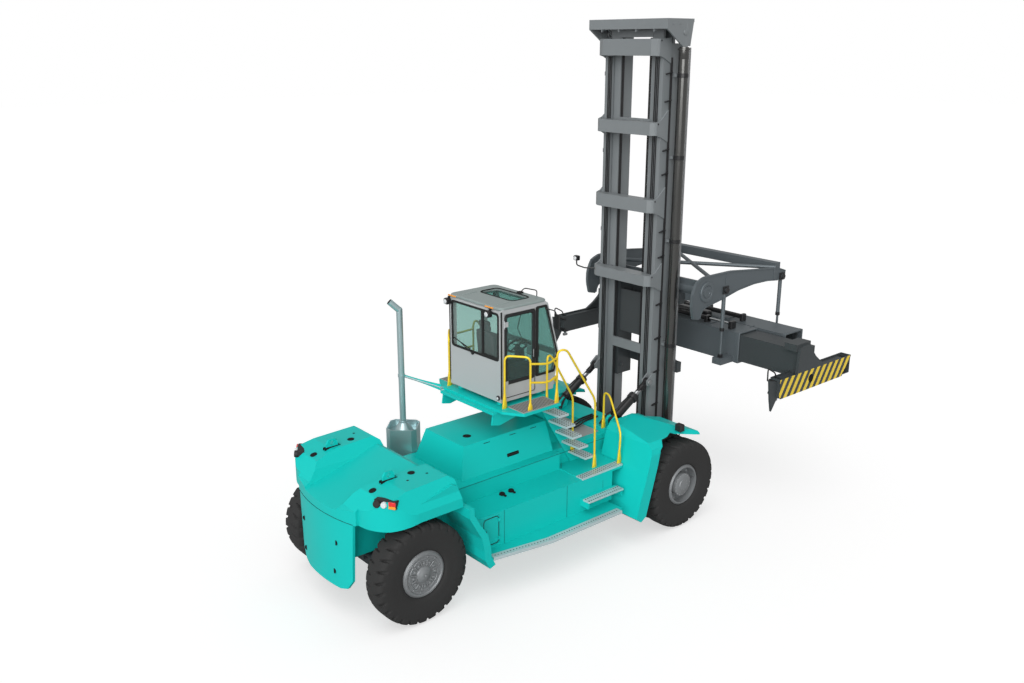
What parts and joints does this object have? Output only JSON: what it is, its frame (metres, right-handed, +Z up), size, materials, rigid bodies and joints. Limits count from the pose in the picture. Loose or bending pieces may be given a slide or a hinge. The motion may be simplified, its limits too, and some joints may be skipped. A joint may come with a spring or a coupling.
{
  "type": "laden container handler",
  "caption": "Rigid four-wheel container truck: rear counterweight and engine, raised cab, twin-tyre drive axle, two-stage mast and a telescopic top spreader with twistlocks.",
  "frame": {"origin": "centre of the bounding box at ground level", "axes": "+X forward towards the spreader, +Y to the driver's left, +Z up"},
  "size_m": [10.6499, 6.18, 9.53],
  "materials": {
    "body_paint": "gloss teal paint",
    "axle_paint": "satin dark grey paint",
    "engine_metal": "bare casting",
    "rail_paint": "satin yellow paint",
    "stack_metal": "dull galvanised steel",
    "cab_paint": "satin light grey paint",
    "cab_glass": "tinted glass",
    "cab_trim": "matt black trim",
    "tyre_rubber": "matt black rubber",
    "rim_paint": "satin grey paint",
    "mast_paint": "satin charcoal paint",
    "cylinder_paint": "gloss black paint",
    "rod_chrome": "polished rod",
    "spreader_paint": "satin charcoal paint",
    "lock_steel": "worn steel"
  },
  "bodies": {
    "chassis": {"chassis_frame": "body_paint", "counterweight": "body_paint", "drive_axle": "axle_paint", "steer_axle": "axle_paint", "engine_block": "engine_metal", "side_boxes": "body_paint", "access_steps": "body_paint", "front_fenders": "body_paint", "rear_mudguards": "body_paint", "cab_platform": "body_paint", "safety_rails": "rail_paint", "exhaust_stack": "stack_metal", "cab_shell": "cab_paint", "cab_glazing": "cab_glass", "cab_interior": "cab_trim"},
    "hood": {"engine_hood": "body_paint"},
    "cab_door_left": {"cab_door_left": "cab_paint"},
    "cab_door_right": {"cab_door_right": "cab_paint"},
    "locker_door": {"box_door": "body_paint"},
    "knuckle_left": {"knuckle_left": "axle_paint"},
    "knuckle_right": {"knuckle_right": "axle_paint"},
    "steer_wheel_left": {"steer_tyre_left": "tyre_rubber", "steer_rim_left": "rim_paint"},
    "steer_wheel_right": {"steer_tyre_right": "tyre_rubber", "steer_rim_right": "rim_paint"},
    "drive_wheel_left": {"drive_tyres_left": "tyre_rubber", "drive_rims_left": "rim_paint"},
    "drive_wheel_right": {"drive_tyres_right": "tyre_rubber", "drive_rims_right": "rim_paint"},
    "outer_mast": {"mast_outer": "mast_paint", "hoist_barrels": "cylinder_paint"},
    "inner_mast": {"mast_inner": "mast_paint"},
    "carriage": {"lift_carriage": "mast_paint"},
    "tilt_barrel_left": {"tilt_barrel_left": "cylinder_paint"},
    "tilt_barrel_right": {"tilt_barrel_right": "cylinder_paint"},
    "tilt_rod_left": {"tilt_rod_left": "rod_chrome"},
    "tilt_rod_right": {"tilt_rod_right": "rod_chrome"},
    "spreader": {"spreader_arms": "spreader_paint", "spreader_frame": "spreader_paint"},
    "end_left": {"end_beam_left": "spreader_paint"},
    "end_right": {"end_beam_right": "spreader_paint"},
    "lock_front_left": {"twistlock_front_left": "lock_steel"},
    "lock_front_right": {"twistlock_front_right": "lock_steel"},
    "lock_rear_left": {"twistlock_rear_left": "lock_steel"},
    "lock_rear_right": {"twistlock_rear_right": "lock_steel"}
  },
  "joints": [
    {"name": "steer_left", "type": "hinge", "parent": "chassis", "child": "knuckle_left", "pos_m": [-4.321, 1.18, 0.88], "axis": [0, 0, 1], "range_deg": [-22, 22]},
    {"name": "steer_right", "type": "hinge", "parent": "chassis", "child": "knuckle_right", "pos_m": [-4.321, -1.18, 0.88], "axis": [0, 0, 1], "range_deg": [-22, 22]},
    {"name": "steer_wheel_left_spin", "type": "hinge", "parent": "knuckle_left", "child": "steer_wheel_left", "pos_m": [-4.321, 1.325, 0.88], "axis": [0, 1, 0], "continuous": true},
    {"name": "steer_wheel_right_spin", "type": "hinge", "parent": "knuckle_right", "child": "steer_wheel_right", "pos_m": [-4.321, -1.325, 0.88], "axis": [0, 1, 0], "continuous": true},
    {"name": "drive_wheel_left_spin", "type": "hinge", "parent": "chassis", "child": "drive_wheel_left", "pos_m": [1.485, 1.6, 0.88], "axis": [0, 1, 0], "continuous": true},
    {"name": "drive_wheel_right_spin", "type": "hinge", "parent": "chassis", "child": "drive_wheel_right", "pos_m": [1.485, -1.6, 0.88], "axis": [0, 1, 0], "continuous": true},
    {"name": "hood_hinge", "type": "hinge", "parent": "chassis", "child": "hood", "pos_m": [-1.915, 0.735, 1.83], "axis": [-1, 0, 0], "range_deg": [0, 16]},
    {"name": "cab_door_left_hinge", "type": "hinge", "parent": "chassis", "child": "cab_door_left", "pos_m": [-1.97, 0.745, 3.88], "axis": [0, 0, 1], "range_deg": [0, 40]},
    {"name": "cab_door_right_hinge", "type": "hinge", "parent": "chassis", "child": "cab_door_right", "pos_m": [-1.97, -0.745, 3.88], "axis": [0, 0, -1], "range_deg": [0, 40]},
    {"name": "locker_door_hinge", "type": "hinge", "parent": "chassis", "child": "locker_door", "pos_m": [-2.718, -1.509, 1.16], "axis": [0, 0, 1], "range_deg": [0, 110]},
    {"name": "mast_tilt", "type": "hinge", "parent": "chassis", "child": "outer_mast", "pos_m": [1.785, 0, 0.62], "axis": [0, 1, 0], "range_deg": [-5, 5]},
    {"name": "mast_lift", "type": "slide", "parent": "outer_mast", "child": "inner_mast", "axis": [0, 0, 1], "range_m": [0, 4.6]},
    {"name": "carriage_lift", "type": "slide", "parent": "inner_mast", "child": "carriage", "axis": [0, 0, 1], "range_m": [0, 4.6]},
    {"name": "tilt_barrel_left_pivot", "type": "hinge", "parent": "chassis", "child": "tilt_barrel_left", "pos_m": [0.805, 0.73, 2], "axis": [0, 1, 0], "range_deg": [-6, 6]},
    {"name": "tilt_barrel_right_pivot", "type": "hinge", "parent": "chassis", "child": "tilt_barrel_right", "pos_m": [0.805, -0.73, 2], "axis": [0, 1, 0], "range_deg": [-6, 6]},
    {"name": "tilt_rod_left_slide", "type": "slide", "parent": "tilt_barrel_left", "child": "tilt_rod_left", "axis": [0.848, 0, 0.53], "range_m": [-0.16, 0.16]},
    {"name": "tilt_rod_right_slide", "type": "slide", "parent": "tilt_barrel_right", "child": "tilt_rod_right", "axis": [0.848, 0, 0.53], "range_m": [-0.16, 0.16]},
    {"name": "side_shift", "type": "slide", "parent": "carriage", "child": "spreader", "axis": [0, 1, 0], "range_m": [-0.3, 0.3]},
    {"name": "telescope_left", "type": "slide", "parent": "spreader", "child": "end_left", "axis": [0, 1, 0], "range_m": [0, 3.048]},
    {"name": "telescope_right", "type": "slide", "parent": "spreader", "child": "end_right", "axis": [0, -1, 0], "range_m": [0, 3.048]},
    {"name": "lock_front_left_turn", "type": "hinge", "parent": "end_left", "child": "lock_front_left", "pos_m": [5.2345, 2.9265, 2.58], "axis": [0, 0, 1], "range_deg": [0, 90]},
    {"name": "lock_front_right_turn", "type": "hinge", "parent": "end_right", "child": "lock_front_right", "pos_m": [5.2345, -2.9265, 2.58], "axis": [0, 0, 1], "range_deg": [0, 90]},
    {"name": "lock_rear_left_turn", "type": "hinge", "parent": "end_left", "child": "lock_rear_left", "pos_m": [2.9755, 2.9265, 2.58], "axis": [0, 0, 1], "range_deg": [0, 90]},
    {"name": "lock_rear_right_turn", "type": "hinge", "parent": "end_right", "child": "lock_rear_right", "pos_m": [2.9755, -2.9265, 2.58], "axis": [0, 0, 1], "range_deg": [0, 90]}
  ],
  "couplings": [
    {"joint": "steer_right", "follows": "steer_left", "ratio": 1},
    {"joint": "carriage_lift", "follows": "mast_lift", "ratio": 1},
    {"joint": "telescope_right", "follows": "telescope_left", "ratio": 1},
    {"joint": "tilt_barrel_left_pivot", "follows": "mast_tilt", "ratio": 0.9192},
    {"joint": "tilt_rod_left_slide", "follows": "mast_tilt", "m_per_rad": 1.6886},
    {"joint": "tilt_barrel_right_pivot", "follows": "mast_tilt", "ratio": 0.9192},
    {"joint": "tilt_rod_right_slide", "follows": "mast_tilt", "m_per_rad": 1.6886},
    {"joint": "lock_front_right_turn", "follows": "lock_front_left_turn", "ratio": 1},
    {"joint": "lock_rear_left_turn", "follows": "lock_front_left_turn", "ratio": 1},
    {"joint": "lock_rear_right_turn", "follows": "lock_front_left_turn", "ratio": 1}
  ]
}
